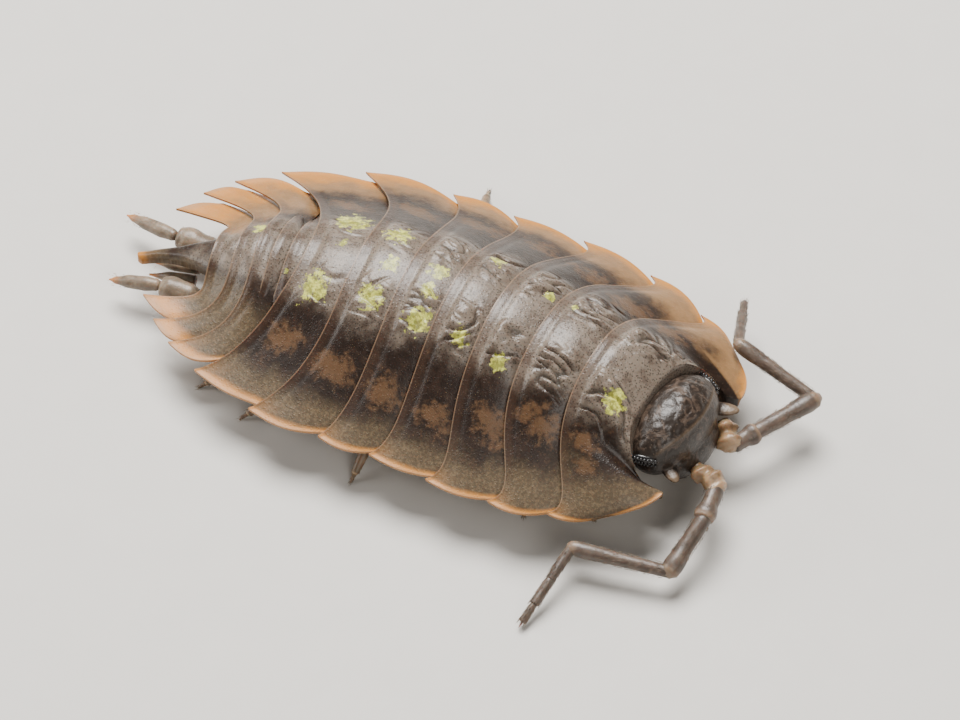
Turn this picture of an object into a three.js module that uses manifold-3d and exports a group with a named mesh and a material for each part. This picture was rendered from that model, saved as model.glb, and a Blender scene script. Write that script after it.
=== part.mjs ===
// A life-size common woodlouse: head with compound eyes and long elbowed feelers, seven leg-bearing
// segments, five tail segments, telson and two forked tail appendages, standing on fourteen legs.
// Millimetres, +Z up, the head towards +X, the animal's left side towards +Y.
import * as THREE from "three";
import { mergeVertices } from "three/addons/utils/BufferGeometryUtils.js";
import Module from "manifold-3d";

const wasm = await Module();
wasm.setup();

// Driving dimensions
const GAP = 0.1; // clear space between one node and the next
const BEND = -0.025; // curvature of the resting body in plan, 1/mm, hollow on the animal's right
const EDGE_Z = 1.33; // height of the side margins above the floor
const EDGE_LIFT = 0.16; // how much lower the front margin of a plate lies than its rear margin
const FLARE = 0.55; // 0 is a plain round arch, 1 an arch with flat flaring sides
const BELLY_Z = 0.86; // height of the belly under the midline
const BELLY_RISE = 0.42; // how much higher the belly is where the side plates begin
const BELLY_HALF = 2.1; // half width of the belly
const BELLY_TAPER = 0.7; // how far the belly would rise if it narrowed to nothing
const BELLY_TO_PLATE = 0.7; // width over which the belly turns into the hollow side plate
const LEG_ROOT_Y = 1.42; // how far from the midline a leg leaves the belly
const PLATE_THICK = 0.5; // thickness of a side plate at its root
const MARGIN_THICK = 0.2; // thickness of a side plate at its thin outer margin
const COLUMNS = 24; // grid of a back plate, across
const ROWS = 4; // grid of a back plate, along

// Rear margin of each back plate: at the midline, at the side corner, and its waves between.
// mid and corner are x, half is the half width at the corner, top the height at the midline,
// bulge how far the outer margin swells past its two corners, belly the share of the full belly.
const PEREONITES = [
  { mid: 4.18, corner: 4.96, half: 3.55, top: 3.42, sweep: -0.2, wave: 2.6, bulge: 0, belly: 1 },
  { mid: 2.71, corner: 3.43, half: 3.98, top: 3.51, sweep: -0.2, wave: 2.6, bulge: 0.06, belly: 1 },
  { mid: 1.47, corner: 1.66, half: 4.14, top: 3.59, sweep: -0.1, wave: 1.4, bulge: 0.08, belly: 1 },
  { mid: 0.27, corner: -0.06, half: 4.08, top: 3.61, sweep: 0, wave: 0.2, bulge: 0.1, belly: 1 },
  { mid: -0.94, corner: -1.56, half: 4.09, top: 3.55, sweep: 0, wave: -0.4, bulge: 0.14, belly: 1 },
  { mid: -2.26, corner: -3.65, half: 3.95, top: 3.37, sweep: -0.2, wave: -1.2, bulge: 0.22, belly: 0.97 },
  { mid: -3.57, corner: -5.47, half: 3.27, top: 3.12, sweep: -1.4, wave: -0.2, bulge: 0.28, belly: 0.9 },
];
const PLEONITES = [
  { mid: -4.0, corner: -4.36, half: 2.1, top: 3.0, sweep: -0.19, wave: 0, bulge: 0, belly: 0.8 },
  { mid: -4.42, corner: -4.56, half: 2.45, top: 2.92, sweep: -0.03, wave: 0, bulge: 0, belly: 0.75 },
  { mid: -4.86, corner: -6.42, half: 2.65, top: 2.82, sweep: 0.4, wave: -1.6, bulge: 0.32, belly: 0.66 },
  { mid: -5.43, corner: -7.02, half: 2.07, top: 2.51, sweep: 0.3, wave: -1.25, bulge: 0.3, belly: 0.58 },
  { mid: -6.04, corner: -7.51, half: 1.4, top: 2.19, sweep: -0.1, wave: 0.3, bulge: 0.28, belly: 0.46 },
];
const NOTCH = 0.2; // how far a side plate starts inside the corner of the plate before it
const CORNER_POWER = 10; // how suddenly a margin turns back into its corner

// The front margin of the first plate: round the back of the head, then out round the lobe.
const COLLAR = [
  [5.72, 0],
  [5.76, 0.8],
  [5.92, 1.3],
  [6.3, 1.66],
  [6.74, 1.72],
  [7.0, 1.95],
  [6.9, 2.35],
  [6.6, 2.68],
  [6.2, 2.95],
];
const COLLAR_TOP = 2.78; // height of the front margin at the midline
// How the right lobe is held in the resting pose: further forward, closer to the head and raised.
const RIGHT_LOBE = { forward: 0.2, inward: 0.24, up: 0.32 };

// Head
const HEAD = { x: 6.34, z: 1.86, length: 0.86, half: 1.47, height: 0.98 };
const EYE = { x: 6.42, y: 1.38, z: 2.05, length: 0.34, depth: 0.13, height: 0.24, slant: 0.35 };
const EYE_GAP = 0.05;
const LENSES = { perRow: 7, rows: 3, radius: 0.06, step: 0.092, rowStep: 0.12, proud: 0.11 };

// Shapes the straight body into its bent resting pose.
function bent(x, y, z) {
  const turn = BEND * x;
  const reach = 1 / BEND - y;
  return new THREE.Vector3(
    Math.sin(turn) * reach,
    1 / BEND - Math.cos(turn) * reach,
    z,
  );
}

// One closed geometry from a list of points and triangles.
function closedGeometry(points, triangles) {
  const geometry = new THREE.BufferGeometry().setFromPoints(points);
  geometry.setIndex(triangles);
  return geometry;
}

// A closed slab between two grids of points, top(i, j) above bottom(i, j), i across and j back.
function slab(top, bottom, across, along) {
  const points = [];
  const triangles = [];
  const at = (side, i, j) => side * (across + 1) * (along + 1) + j * (across + 1) + i;
  const quad = (a, b, c, d) => triangles.push(a, b, c, a, c, d);
  for (const grid of [top, bottom])
    for (let j = 0; j <= along; j++)
      for (let i = 0; i <= across; i++) points.push(grid(i, j));
  for (let j = 0; j < along; j++)
    for (let i = 0; i < across; i++) {
      quad(at(0, i, j), at(0, i, j + 1), at(0, i + 1, j + 1), at(0, i + 1, j));
      quad(at(1, i, j), at(1, i + 1, j), at(1, i + 1, j + 1), at(1, i, j + 1));
    }
  for (let i = 0; i < across; i++) {
    quad(at(0, i, 0), at(0, i + 1, 0), at(1, i + 1, 0), at(1, i, 0));
    quad(at(0, i + 1, along), at(0, i, along), at(1, i, along), at(1, i + 1, along));
  }
  for (let j = 0; j < along; j++) {
    quad(at(0, 0, j + 1), at(0, 0, j), at(1, 0, j), at(1, 0, j + 1));
    quad(at(0, across, j), at(0, across, j + 1), at(1, across, j + 1), at(1, across, j));
  }
  return closedGeometry(points, triangles);
}

// A three.js geometry as a solid that can be joined or cut, and back.
function solid(geometry) {
  const plain = new THREE.BufferGeometry();
  plain.setAttribute("position", geometry.getAttribute("position"));
  if (geometry.index) plain.setIndex(geometry.index);
  const merged = mergeVertices(plain, 1e-4);
  const made = new wasm.Manifold(
    new wasm.Mesh({
      numProp: 3,
      vertProperties: merged.attributes.position.array,
      triVerts: new Uint32Array(merged.index.array),
    }),
  );
  return made.volume() < 0 ? solid(flipped(merged)) : made;
}

function flipped(geometry) {
  const index = [...geometry.index.array];
  for (let i = 0; i < index.length; i += 3)
    [index[i + 1], index[i + 2]] = [index[i + 2], index[i + 1]];
  return geometry.clone().setIndex(index);
}

// The surface of a solid as a geometry, without the crumbs that a cut may leave.
function geometryOf(made) {
  const largest = made.decompose().sort((a, b) => b.volume() - a.volume())[0];
  const mesh = largest.getMesh();
  const points = [];
  for (let i = 0; i < mesh.numVert; i++)
    points.push(new THREE.Vector3().fromArray(mesh.vertProperties, i * mesh.numProp));
  return closedGeometry(points, [...mesh.triVerts]);
}

const joined = (geometries) => geometries.map(solid).reduce((a, b) => a.add(b));

// Height share of the arched back at a share t of the half width.
function arch(t) {
  const flat = 0.5 * (1 + Math.cos(Math.PI * t));
  return (1 - FLARE) * (1 - t * t) + FLARE * flat;
}

// x of a plate's rear margin at a share t of its half width.
function rearMargin(plate, t) {
  const rest = plate.corner - plate.mid - plate.sweep - plate.wave;
  return (
    plate.mid + plate.sweep * t ** 2 + plate.wave * t ** 4 + rest * t ** CORNER_POWER
  );
}

// Share of the half width for column i, closer together towards the corners.
function lateral(i, across) {
  const even = (2 * i) / across - 1;
  return Math.sign(even) * (1 - (1 - Math.abs(even)) ** 1.25);
}

// Height of the belly, which narrows and rises with a smaller share of the full belly.
function bellyHeight(y, bellyShare) {
  const share = Math.min(1, Math.abs(y) / (BELLY_HALF * bellyShare));
  return BELLY_Z + (1 - bellyShare) * BELLY_TAPER + BELLY_RISE * share ** 2;
}

// The underside: belly in the middle, then the hollow underside of the side plates.
function underside(top, y, bellyShare) {
  const belly = bellyHeight(y, bellyShare);
  const up = THREE.MathUtils.smoothstep(top, EDGE_Z - 0.1, EDGE_Z + 0.6);
  const thick = MARGIN_THICK + (PLATE_THICK - MARGIN_THICK) * up;
  const past = Math.abs(y) - BELLY_HALF * bellyShare;
  const outer = Math.min(1, Math.max(0, past / BELLY_TO_PLATE));
  const plate = top - thick;
  return Math.min(belly + (plate - belly) * outer, plate);
}

// A back plate with its belly: front(share) gives [x, y, z] along the margin that it starts from.
function segmentGeometry(plate, front, rows = ROWS) {
  const surface = (i, j) => {
    const share = lateral(i, COLUMNS);
    const t = Math.abs(share);
    const v = j / rows;
    const start = front(share);
    const spread = 1 - (1 - v) ** 2.5;
    const swell = plate.bulge * Math.sin(Math.PI * v) * Math.sign(share) * t ** 6;
    const y = start[1] + (share * plate.half - start[1]) * spread + swell;
    const x = start[0] + (rearMargin(plate, t) - start[0]) * v;
    const rear = EDGE_Z + (plate.top - EDGE_Z) * arch(t);
    const z = start[2] + (rear - start[2]) * (1 - (1 - v) ** 1.6);
    return [x, y, z];
  };
  const top = (i, j) => bent(...surface(i, j));
  const bottom = (i, j) => {
    const [x, y, z] = surface(i, j);
    return bent(x, y, underside(z, y, plate.belly));
  };
  return slab(top, bottom, COLUMNS, rows);
}

// The front margin of a plate that follows another: a gap behind it, narrower and a little lower.
function frontBehind(before, narrower = NOTCH) {
  return (share) => {
    const y = share * (before.half - narrower);
    const t = Math.abs(y) / before.half;
    const z = EDGE_Z + (before.top - EDGE_Z) * arch(t) - EDGE_LIFT;
    return [rearMargin(before, t) - GAP, y, z];
  };
}

// The front margin of the first plate, which wraps the back of the head and ends in two lobes.
// grow moves it towards the head and raises it, for the cut that parts the head from it.
function collarFront(grow = 0) {
  const curve = new THREE.CatmullRomCurve3(
    COLLAR.map(([x, y]) => new THREE.Vector3(x, y, 0)),
  );
  const { smoothstep } = THREE.MathUtils;
  return (share) => {
    const t = Math.abs(share);
    const p = curve.getPoint(t);
    const way = curve.getTangent(t);
    const height = arch(t) * (1 - smoothstep(p.x, 5.7, 7.1));
    const held = share < 0 ? smoothstep(t, 0.49, 0.62) * (1 - smoothstep(t, 0.65, 1)) : 0;
    return [
      p.x + grow * way.y + held * RIGHT_LOBE.forward,
      Math.sign(share) * (p.y - grow * way.x - held * RIGHT_LOBE.inward),
      EDGE_Z + (COLLAR_TOP - EDGE_Z) * height + grow * 3 + held * RIGHT_LOBE.up,
    ];
  };
}

// The front margin of the third tail segment: behind the second in the middle, the last
// leg-bearing plate further out.
function tailFront() {
  const inner = PLEONITES[1];
  const outer = PEREONITES[6];
  return (share) => {
    const y = share * (outer.half - 0.5);
    const [tIn, tOut] = [Math.abs(y) / inner.half, Math.abs(y) / outer.half];
    const xIn = tIn < 1 ? rearMargin(inner, tIn) : inner.corner;
    const x = Math.min(xIn, rearMargin(outer, tOut)) - GAP;
    const z = EDGE_Z + (inner.top - EDGE_Z) * arch(Math.min(1, tOut)) - EDGE_LIFT;
    return [x, y, z];
  };
}

// A round form turned about the line between two points. Each station is its share of the way
// and its radius there.
function turned(from, to, stations, sides = 8) {
  const axis = to.clone().sub(from);
  const length = axis.length();
  const [first, last] = [stations[0], stations[stations.length - 1]];
  const profile = [[first[0], 0], ...stations, [last[0], 0]].map(
    ([share, radius]) => new THREE.Vector2(radius, share * length),
  );
  const turn = new THREE.Quaternion().setFromUnitVectors(
    new THREE.Vector3(0, 1, 0),
    axis.normalize(),
  );
  return new THREE.LatheGeometry(profile, sides)
    .applyQuaternion(turn)
    .translate(from.x, from.y, from.z);
}

// A chain of articles joined into one limb, each starting a little inside the one before it.
function limb(joints, radii, sides = 8) {
  const pieces = [];
  for (let i = 0; i + 1 < joints.length; i++) {
    const [root, end] = [radii[i], radii[i + 1]];
    const from = i ? along(joints[i], joints[i + 1], -root * 0.6) : joints[i];
    const stations = [
      [0, root * 0.86],
      [0.2, root],
      [0.85, end],
      [1, end * 0.62],
    ];
    pieces.push(turned(from, joints[i + 1], stations, sides));
  }
  return joined(pieces);
}

// A point that lies a little along the way from one joint to the next.
function along(from, to, distance) {
  return from.clone().addScaledVector(to.clone().sub(from).normalize(), distance);
}

// Keeps the part of a solid on one side of the mitre plane at a joint between two articles.
function mitred(made, before, joint, after, keepSide) {
  const normal = along(joint, after, 1).sub(joint).add(along(before, joint, 1).sub(before));
  normal.normalize().multiplyScalar(keepSide);
  return made.trimByPlane(normal.toArray(), normal.dot(joint) + GAP / 2);
}

// Everything below the floor is cut away, which leaves a small flat under each foot.
function standing(made) {
  const below = new THREE.BoxGeometry(40, 40, 2).translate(0, 0, -1);
  return made.subtract(solid(below));
}

// An egg-shaped body with half sizes a, b, c, turned about Z then placed.
function egg(a, b, c, x, y, z, turn = 0, detail = 12) {
  return new THREE.SphereGeometry(1, detail, Math.round(detail * 0.66))
    .rotateX(Math.PI / 2)
    .scale(a, b, c)
    .rotateZ(turn)
    .translate(x, y, z);
}

// Bends every point of a geometry that was made on the straight body.
function bentGeometry(geometry) {
  const p = geometry.getAttribute("position");
  for (let i = 0; i < p.count; i++) {
    const v = bent(p.getX(i), p.getY(i), p.getZ(i));
    p.setXYZ(i, v.x, v.y, v.z);
  }
  return geometry;
}

function headSolid() {
  const { x, z, length, half, height } = HEAD;
  const pieces = [
    egg(length, half, height, x, 0, z, 0, 20),
    egg(0.5, 1.0, 0.62, x + 0.5, 0, z - 0.5, 0, 14),
    egg(0.62, 0.72, 0.42, x + 0.2, 0, z - 0.92, 0, 12),
  ];
  for (const side of [-1, 1])
    pieces.push(egg(0.52, 0.3, 0.26, x + 0.62, side * 1.22, z - 0.42, side * 0.55, 10));
  const cuts = [segmentGeometry(PEREONITES[0], collarFront(GAP))];
  for (const side of [-1, 1]) cuts.push(bentGeometry(eyeBase(side, EYE_GAP)));
  for (const pose of Object.values(FEELERS)) cuts.push(feelerBase(pose, GAP));
  return cuts.reduce(
    (made, cut) => made.subtract(cut.isBufferGeometry ? solid(cut) : cut),
    joined(pieces.map(bentGeometry)),
  );
}

// The low oval base of a compound eye.
function eyeBase(side, grow) {
  const { length, depth, height } = EYE;
  const turn = side * -EYE.slant;
  return egg(length + grow, depth + grow, height + grow, EYE.x, side * EYE.y, EYE.z, turn, 10);
}

// A compound eye: rows of round lenses on its base.
function eyeSolid(side) {
  const pieces = [eyeBase(side, 0)];
  const { perRow, rows, radius, step, rowStep, proud } = LENSES;
  for (let row = 0; row < rows; row++) {
    const count = perRow - (row % 2);
    for (let k = 0; k < count; k++) {
      const ahead = (k - (count - 1) / 2) * step;
      const up = (row - (rows - 1) / 2) * rowStep;
      const y = EYE.y + proud - ahead ** 2 * 0.5 - up ** 2 * 1.4 - ahead * 0.32;
      pieces.push(egg(radius, radius, radius, EYE.x + ahead, side * y, EYE.z + up, 0, 6));
    }
  }
  const collar = segmentGeometry(PEREONITES[0], collarFront(GAP));
  return joined(pieces.map(bentGeometry)).subtract(solid(collar));
}

// Feelers: the joints measured on the resting animal, in the frame of the part.
const FEELERS = {
  left: {
    base: [[7.3, 0.38, 1.3], [7.62, 0.0, 1.16], [8.0, 0.62, 1.2]],
    elbow: [8.88, 2.14, 1.2],
    wrist: [6.7, 2.46, 1.8],
    tip: [6.06, 4.38, 1.0],
  },
  right: {
    base: [[7.32, -1.12, 1.3], [7.85, -1.36, 1.32], [7.92, -2.28, 1.2]],
    elbow: [7.67, -3.69, 0.66],
    wrist: [5.34, -4.17, 0.86],
    tip: [4.98, -6.36, 0.14],
  },
};
const FEELER_RADIUS = { root: 0.3, knuckle: 0.28, elbow: 0.27, wrist: 0.25, tip: 0.05 };
const WHIP = [
  [0, 0.25],
  [0.36, 0.26],
  [0.38, 0.24],
  [0.64, 0.22],
  [0.66, 0.19],
  [0.88, 0.11],
  [1, 0.04],
];

// The three short first articles of a feeler, joined; grow makes the cut for its socket.
function feelerBase(pose, grow = 0) {
  const base = pose.base.map((p) => new THREE.Vector3(...p));
  const { root } = FEELER_RADIUS;
  base[0].copy(along(base[0], base[1], -grow));
  base[2].copy(along(base[2], base[1], -root));
  return limb(base, [root, root * 1.1, root].map((r) => r + grow), 10);
}

// The pieces of a feeler, made whole and parted at each knuckle by a thin slanting cut.
function feelerSolids(pose) {
  const { knuckle: atKnuckle, elbow: atElbow, wrist: atWrist } = FEELER_RADIUS;
  const second = new THREE.Vector3(...pose.base[1]);
  const knuckle = new THREE.Vector3(...pose.base[2]);
  const [elbow, wrist, tip] = [pose.elbow, pose.wrist, pose.tip].map(
    (p) => new THREE.Vector3(...p),
  );
  const shaft = (from, to, root, end) => {
    const over = (end * 1.1) / from.distanceTo(to);
    const stations = [
      [-over, root * 0.9],
      [0.12, root * 0.92],
      [0.5, (root + end) * 0.46],
      [1 - over, end],
      [1 + over, end * 0.95],
    ];
    return solid(turned(from, to, stations, 10));
  };
  const base = mitred(feelerBase(pose), second, knuckle, elbow, -1);
  const mid = mitred(shaft(knuckle, elbow, atKnuckle, atElbow), second, knuckle, elbow, 1);
  const long = mitred(shaft(elbow, wrist, atElbow, atWrist), knuckle, elbow, wrist, 1);
  const whip = solid(turned(along(wrist, tip, -atWrist), tip, WHIP, 10));
  return {
    base,
    mid: mitred(mid, knuckle, elbow, wrist, -1),
    long: mitred(long, elbow, wrist, tip, -1),
    whip: mitred(whip, elbow, wrist, tip, 1),
  };
}

// Legs: how far along the way from root to foot each joint lies, its height and its thickness.
const LEG_JOINTS = [
  { share: 0.14, z: 0.55, radius: 0.28 },
  { share: 0.42, z: 0.88, radius: 0.27 },
  { share: 0.72, z: 0.5, radius: 0.25 },
  { share: 1, z: -0.05, radius: 0.1 },
];
const LEG_DROP = 0.42; // how far the axis of a leg's root lies under the belly
// Where each foot stands on the floor, on the straight body, from the first leg to the last.
const FEET = {
  left: [[5.8, 2.5], [4.4, 3.5], [2.6, 4.0], [0.5, 4.6], [-1.28, 5.6], [-3.8, 3.9], [-5.6, 2.8]],
  right: [[5.6, 2.3], [4.0, 3.1], [2.2, 3.1], [0.8, 3.2], [-0.6, 4.15], [-4.2, 3.4], [-5.6, 2.8]],
};

// The middle of a segment at the midline, where its legs stand.
function legStation(index) {
  const rear = PEREONITES[index].mid;
  const front = index ? PEREONITES[index - 1].mid : COLLAR[0][0];
  return (rear + front) / 2;
}

function legSolid(index, side, [footX, footY]) {
  const station = legStation(index);
  const belly = bellyHeight(LEG_ROOT_Y, PEREONITES[index].belly);
  const spot = (way, z) => {
    const x = station + (footX - station) * way;
    return bent(x, side * (LEG_ROOT_Y + (footY - LEG_ROOT_Y) * way), z);
  };
  const joints = [spot(0, belly - LEG_DROP), ...LEG_JOINTS.map((j) => spot(j.share, j.z))];
  const radii = [LEG_JOINTS[0].radius, ...LEG_JOINTS.map((j) => j.radius)];
  return standing(limb(joints, radii, 8));
}

// The telson: a tail plate behind the last segment that narrows fast to a blunt tongue.
const TELSON = { base: 0.64, length: 1.95, top: 1.95, tip: 0.14, thick: 0.5 };

function telsonGeometry() {
  const last = PLEONITES[4];
  const across = 10;
  const rows = 7;
  const surface = (i, j) => {
    const share = (2 * i) / across - 1;
    const v = j / rows;
    const half = TELSON.tip + (TELSON.base - TELSON.tip) * (1 - v) ** 2.4;
    const y = share * half;
    const start = rearMargin(last, Math.abs(y) / last.half) - GAP;
    const round = 0.12 * share ** 2 * v;
    const x = start + (last.mid - GAP - TELSON.length + round - start) * v;
    const crown = TELSON.top - 0.5 * v - 0.3 * v * v;
    const z = crown - 0.3 * share ** 2 * (1 - v * 0.6);
    return [x, y, z, v];
  };
  return slab(
    (i, j) => bent(...surface(i, j).slice(0, 3)),
    (i, j) => {
      const [x, y, z, v] = surface(i, j);
      return bent(x, y, z - TELSON.thick * (1 - 0.5 * v));
    },
    across,
    rows,
  );
}

// The tail appendages: a stout base, a spear-shaped outer branch and a short inner branch.
const UROPODS = {
  left: { root: [-6.28, 0.8], joint: [-7.36, 0.88], tip: [-8.78, 1.46] },
  right: { root: [-6.28, -0.76], joint: [-7.3, -0.7], tip: [-8.67, -0.62] },
};

function uropodSolids({ root, joint, tip }) {
  const side = Math.sign(root[1]);
  const start = bent(...root, 0.82);
  const middle = bent(...joint, 0.94);
  const end = bent(...tip, 0.66);
  const base = [
    [0, 0.24],
    [0.25, 0.31],
    [0.75, 0.33],
    [1, 0.24],
  ];
  const spear = [
    [0, 0.17],
    [0.3, 0.26],
    [0.6, 0.23],
    [0.9, 0.1],
    [1, 0.04],
  ];
  const inner = [
    [0, 0.2],
    [0.6, 0.2],
    [1, 0.06],
  ];
  return {
    base: turned(start, middle, base, 10),
    outer: turned(along(middle, end, GAP), end, spear),
    inner: turned(bent(-6.55, side * 0.2, 0.74), bent(-7.75, side * 0.2, 0.62), inner),
  };
}

// The plates under the tail that the animal breathes with, overlapping backwards in pairs.
const PLEOPOD = { first: -3.62, step: 0.5, half: 0.78, thick: 0.2 };

function pleopodGeometry(index, side) {
  const x = PLEOPOD.first - index * PLEOPOD.step;
  const size = 1 - index * 0.1;
  const z = 0.62 + index * 0.05;
  const across = 4;
  const rows = 4;
  const spot = (i, j, drop) => {
    const v = j / rows;
    const wide = PLEOPOD.half * size * Math.sqrt(Math.max(0.02, 1 - (v * 0.98) ** 3));
    const y = GAP / 2 + (wide * i) / across;
    const rise = 0.09 * v + 0.1 * (i / across) ** 2;
    return bent(x - v * (PLEOPOD.step - GAP), side * y, z + rise - drop);
  };
  const upper = (i, j) => spot(i, j, 0);
  const lower = (i, j) => spot(i, j, PLEOPOD.thick);
  return slab(upper, lower, across, rows);
}

// Materials, as the photographed animal shows them
function finish(color, roughness) {
  return new THREE.MeshStandardMaterial({ color, roughness, metalness: 0 });
}
const MATERIALS = {
  shell: finish(0x4a3526, 0.38),
  head: finish(0x2f2620, 0.4),
  eye: finish(0x080808, 0.15),
  limb: finish(0x8a7763, 0.5),
  tail: finish(0x8d7a66, 0.45),
  gill: finish(0xcfc4ae, 0.55),
};

const woodlouse = new THREE.Group();
function add(name, made, material) {
  const geometry = made.isBufferGeometry ? geometryOf(solid(made)) : geometryOf(made);
  geometry.computeVertexNormals();
  const mesh = new THREE.Mesh(geometry, MATERIALS[material]);
  mesh.name = name;
  woodlouse.add(mesh);
}

const SIDES = { left: 1, right: -1 };

PEREONITES.forEach((plate, i) => {
  const front = i ? frontBehind(PEREONITES[i - 1]) : collarFront();
  add("pereonite_" + (i + 1), segmentGeometry(plate, front), "shell");
});
PLEONITES.forEach((plate, i) => {
  const before = i ? PLEONITES[i - 1] : PEREONITES[6];
  const fronts = [
    frontBehind(before, before.half - 1.95),
    frontBehind(before, 0.06),
    tailFront(),
    frontBehind(before, 0.12),
    frontBehind(before, 0.12),
  ];
  add("pleonite_" + (i + 1), segmentGeometry(plate, fronts[i], i < 2 ? 1 : 3), "shell");
});
add("telson", telsonGeometry(), "shell");
add("head", headSolid(), "head");

for (const [name, side] of Object.entries(SIDES)) {
  add("eye_" + name, eyeSolid(side), "eye");
  for (const [piece, made] of Object.entries(feelerSolids(FEELERS[name])))
    add("antenna_" + name + "_" + piece, made, "limb");
  for (let i = 0; i < PEREONITES.length; i++)
    add("leg_" + name + "_" + (i + 1), legSolid(i, side, FEET[name][i]), "limb");
  for (const [piece, made] of Object.entries(uropodSolids(UROPODS[name])))
    add("uropod_" + name + "_" + piece, made, "tail");
  for (let i = 0; i < PLEONITES.length; i++)
    add("pleopod_" + name + "_" + (i + 1), pleopodGeometry(i, side), "gill");
}

// The origin is the middle of the footprint, on the floor.
const box = new THREE.Box3().setFromObject(woodlouse);
const middle = box.getCenter(new THREE.Vector3());
woodlouse.position.set(-middle.x, -middle.y, 0);

export default woodlouse;
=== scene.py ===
"""The looks of the life-size woodlouse: shell plates, head, eyes, feelers, legs and tail."""

import math
import random

import bpy
from bpy.props import FloatProperty, FloatVectorProperty, IntProperty, PointerProperty
from bpy.types import Operator, Panel, PropertyGroup
from mathutils import Matrix, Quaternion, Vector, noise


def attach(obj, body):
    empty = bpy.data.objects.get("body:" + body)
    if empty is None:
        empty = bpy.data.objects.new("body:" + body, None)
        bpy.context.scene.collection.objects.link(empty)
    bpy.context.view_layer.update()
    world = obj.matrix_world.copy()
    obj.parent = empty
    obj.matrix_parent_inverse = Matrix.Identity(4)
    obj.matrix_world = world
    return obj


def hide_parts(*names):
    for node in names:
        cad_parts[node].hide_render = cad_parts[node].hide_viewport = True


bl_info = {
    "name": "Woodlouse",
    "version": (1, 0, 0),
    "blender": (4, 5, 0),
    "location": "View3D > Sidebar > Woodlouse",
    "description": "Builds the shell, head, limbs and hairs of a life-size woodlouse",
    "category": "Object",
}

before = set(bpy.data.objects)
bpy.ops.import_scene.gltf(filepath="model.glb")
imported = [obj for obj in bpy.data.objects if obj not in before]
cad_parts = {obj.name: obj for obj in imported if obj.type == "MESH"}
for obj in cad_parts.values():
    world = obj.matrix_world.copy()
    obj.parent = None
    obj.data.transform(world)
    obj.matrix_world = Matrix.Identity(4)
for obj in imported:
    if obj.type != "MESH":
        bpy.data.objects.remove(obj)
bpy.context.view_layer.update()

MM = 0.001
SIDES = {"left": 1, "right": -1}

# The straight body in millimetres, head towards +X, left side +Y, floor at zero.
BEND = -0.025
EDGE_Z = 1.33
FLARE = 0.55
COLLAR_TOP = 2.78
RIGHT_LOBE = {"forward": 0.2, "inward": 0.24, "up": 0.32}
COLLAR = [
    (5.72, 0),
    (5.76, 0.8),
    (5.92, 1.3),
    (6.3, 1.66),
    (6.74, 1.72),
    (7.0, 1.95),
    (6.9, 2.35),
    (6.6, 2.68),
    (6.2, 2.95),
]
# mid and corner are x of a plate's rear margin at the midline and at the side corner, and sweep
# and wave bend it between them. half is the half width, top the height, bulge how far the outer
# margin swells, border the width of the clear border, and bosses their share of the full height.
PLATE_VALUES = (
    "name", "mid", "corner", "half", "top", "sweep", "wave", "bulge", "border", "bosses",
)


def plate(*values, tans=(), lemons=()):
    """One back plate: margins, height, clear border, bosses, and (x, y, size) of its blotches."""
    return {**dict(zip(PLATE_VALUES, values)), "tans": tans, "lemons": lemons}


PEREONITES = [
    plate(
        "pereonite_1", 4.18, 4.96, 3.55, 3.42, -0.2, 2.6, 0.0, 1.15, 1.1,
        tans=[(4.9, -1.95, 0.2), (5.3, -2.3, 0.14)],
        lemons=[(5.2, -0.95, 0.26)],
    ),
    plate(
        "pereonite_2", 2.71, 3.43, 3.98, 3.51, -0.2, 2.6, 0.06, 1.05, 1.0,
        tans=[(3.97, -2.11, 0.3)],
        lemons=[(3.1, 0.75, 0.1)],
    ),
    plate(
        "pereonite_3", 1.47, 1.66, 4.14, 3.59, -0.1, 1.4, 0.08, 0.85, 1.0,
        tans=[(2.68, -2.63, 0.28)],
        lemons=[(2.25, -1.45, 0.18), (2.45, 0.75, 0.12)],
    ),
    plate(
        "pereonite_4", 0.27, -0.06, 4.08, 3.61, 0.0, 0.2, 0.1, 0.7, 0.9,
        tans=[(1.1, -2.9, 0.28)],
        lemons=[(0.87, 1.13, 0.2), (1.05, -1.25, 0.2)],
    ),
    plate(
        "pereonite_5", -0.94, -1.56, 4.09, 3.55, 0.0, -0.4, 0.14, 0.7, 0.75,
        tans=[(-0.3, -2.85, 0.3)],
        lemons=[(-0.2, 0.1, 0.22), (-0.18, -0.5, 0.2), (-0.12, -1.2, 0.3)],
    ),
    plate(
        "pereonite_6", -2.26, -3.65, 3.95, 3.37, -0.2, -1.2, 0.22, 0.7, 0.45,
        tans=[(-1.9, -2.62, 0.28)],
        lemons=[(-1.6, 0.94, 0.3), (-1.41, -0.07, 0.24), (-1.5, -1.02, 0.28)],
    ),
    plate(
        "pereonite_7", -3.57, -5.47, 3.27, 3.12, -1.4, -0.2, 0.28, 0.65, 0.25,
        tans=[(-3.4, -2.2, 0.24)],
        lemons=[(-2.94, 1.2, 0.38), (-3.0, -1.02, 0.33), (-2.8, 0.23, 0.12)],
    ),
]
PLEONITES = [
    plate(
        "pleonite_1", -4.0, -4.36, 2.4, 3.0, -0.19, 0, 0, 0.6, 0.0, lemons=[(-3.9, -0.75, 0.06)]
    ),
    plate("pleonite_2", -4.42, -4.56, 2.65, 2.92, -0.03, 0, 0, 0.6, 0.0),
    plate("pleonite_3", -4.86, -6.42, 2.65, 2.82, 0.4, -1.6, 0.32, 1.3, 0.0),
    plate(
        "pleonite_4", -5.43, -7.02, 2.07, 2.51, 0.3, -1.25, 0.3, 1.1, 0.0,
        lemons=[(-5.05, 0.55, 0.18)],
    ),
    plate("pleonite_5", -6.04, -7.51, 1.4, 2.19, -0.1, 0.3, 0.28, 0.9, 0.0),
]


def bent(x, y, z):
    """A point of the straight body in its bent resting pose."""
    turn = BEND * x
    reach = 1 / BEND - y
    return Vector((math.sin(turn) * reach, 1 / BEND - math.cos(turn) * reach, z))


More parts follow.
